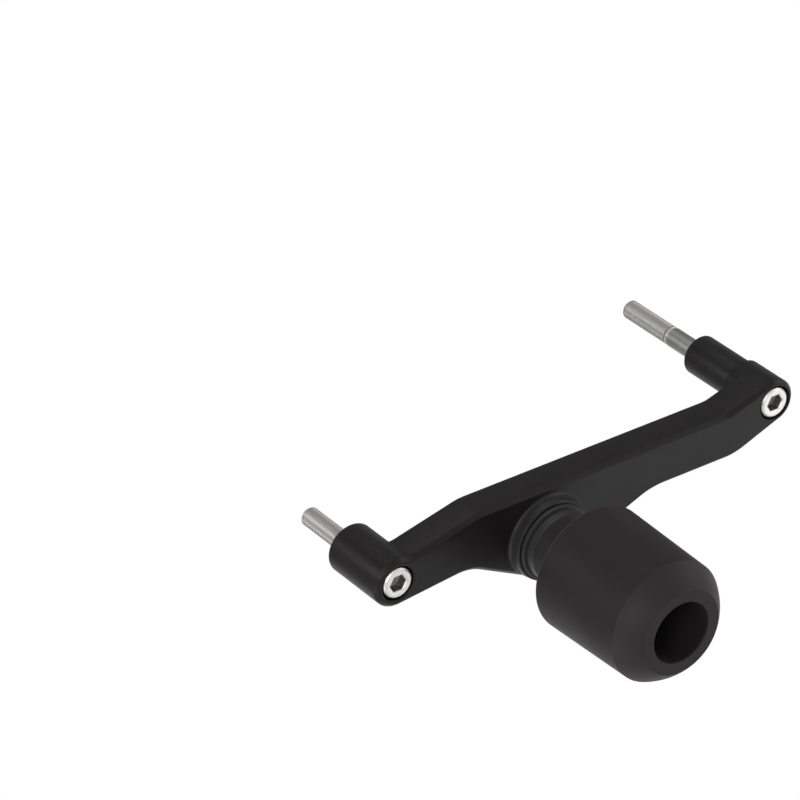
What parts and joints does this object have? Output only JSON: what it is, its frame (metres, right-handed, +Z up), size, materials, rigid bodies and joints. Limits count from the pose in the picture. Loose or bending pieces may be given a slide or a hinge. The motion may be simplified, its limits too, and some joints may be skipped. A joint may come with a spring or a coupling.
{
  "type": "frame_slider",
  "caption": "Frame slider for a motorcycle: a black machined arm bolted to the frame at both ends, carrying a nylon crash bobbin on a turned spindle",
  "frame": {"origin": "centre of the left boss's seat, the end face that lies on the motorcycle's frame", "axes": "+X along the arm to the right bolt, +Y into the motorcycle along the bolts, +Z up"},
  "size_m": [0.2483, 0.2123, 0.0672],
  "materials": {
    "arm_coating": "satin black coating",
    "black_anodised": "black anodised, turned",
    "black_nylon": "matte black nylon, turned",
    "bolt_steel": "bright plated steel"
  },
  "bodies": {
    "root": {"bracket": "arm_coating", "left_bolt": "bolt_steel", "right_bolt": "bolt_steel", "right_spacer": "black_anodised", "pad_ring": "black_anodised", "spindle": "black_anodised", "bobbin": "black_nylon", "bobbin_washer": "bolt_steel", "bobbin_bolt": "bolt_steel"}
  },
  "joints": []
}
